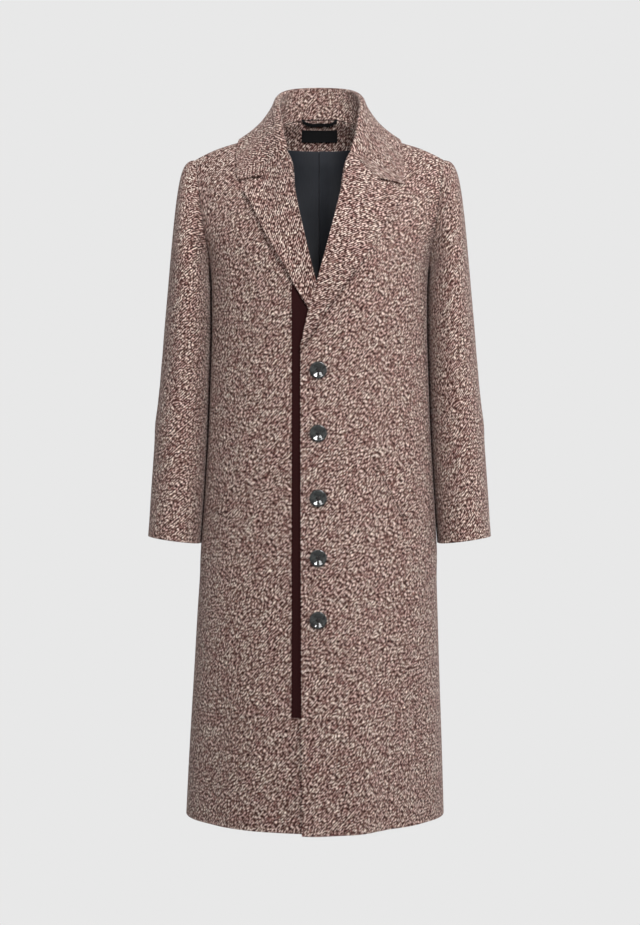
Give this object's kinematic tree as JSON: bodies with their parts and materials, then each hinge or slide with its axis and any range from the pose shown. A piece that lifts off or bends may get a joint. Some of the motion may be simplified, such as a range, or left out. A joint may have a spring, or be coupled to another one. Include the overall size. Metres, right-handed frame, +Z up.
{
  "type": "long coat",
  "caption": "Long single-breasted tailored overcoat of two-tone twill with notched lapels, a turned-down collar and a button front, hollow and open at neck, cuffs and hem.",
  "frame": {"origin": "middle of the back neck seam, where the coat rests on the wearer's nape or on a hanger", "axes": "+Z up along the coat's length, +X towards the wearer's left, -Y towards the front"},
  "size_m": [0.573, 0.3289, 1.2457],
  "materials": {
    "twill": "matte brushed two-tone wool twill, rose cream and burgundy brown",
    "strip": "matte plain dark burgundy cloth",
    "lining": "satin, dark slate",
    "trim": "matte black woven tape",
    "button": "glossy smoky grey, marbled"
  },
  "bodies": {
    "root": {"front_left": "twill", "front_right": "twill", "back_left": "twill", "back_right": "twill", "sleeve_left_top": "twill", "sleeve_left_under": "twill", "sleeve_right_top": "twill", "sleeve_right_under": "twill", "lapel_left": "twill", "lapel_right": "twill", "collar_fall": "twill", "collar_stand": "twill", "back_facing": "twill", "label": "trim", "hanger_loop": "trim", "back_lining": "lining", "front_strip": "strip", "welt_left": "twill", "welt_right": "twill", "button_1": "button", "button_2": "button", "button_3": "button", "button_4": "button", "button_5": "button"}
  },
  "joints": []
}
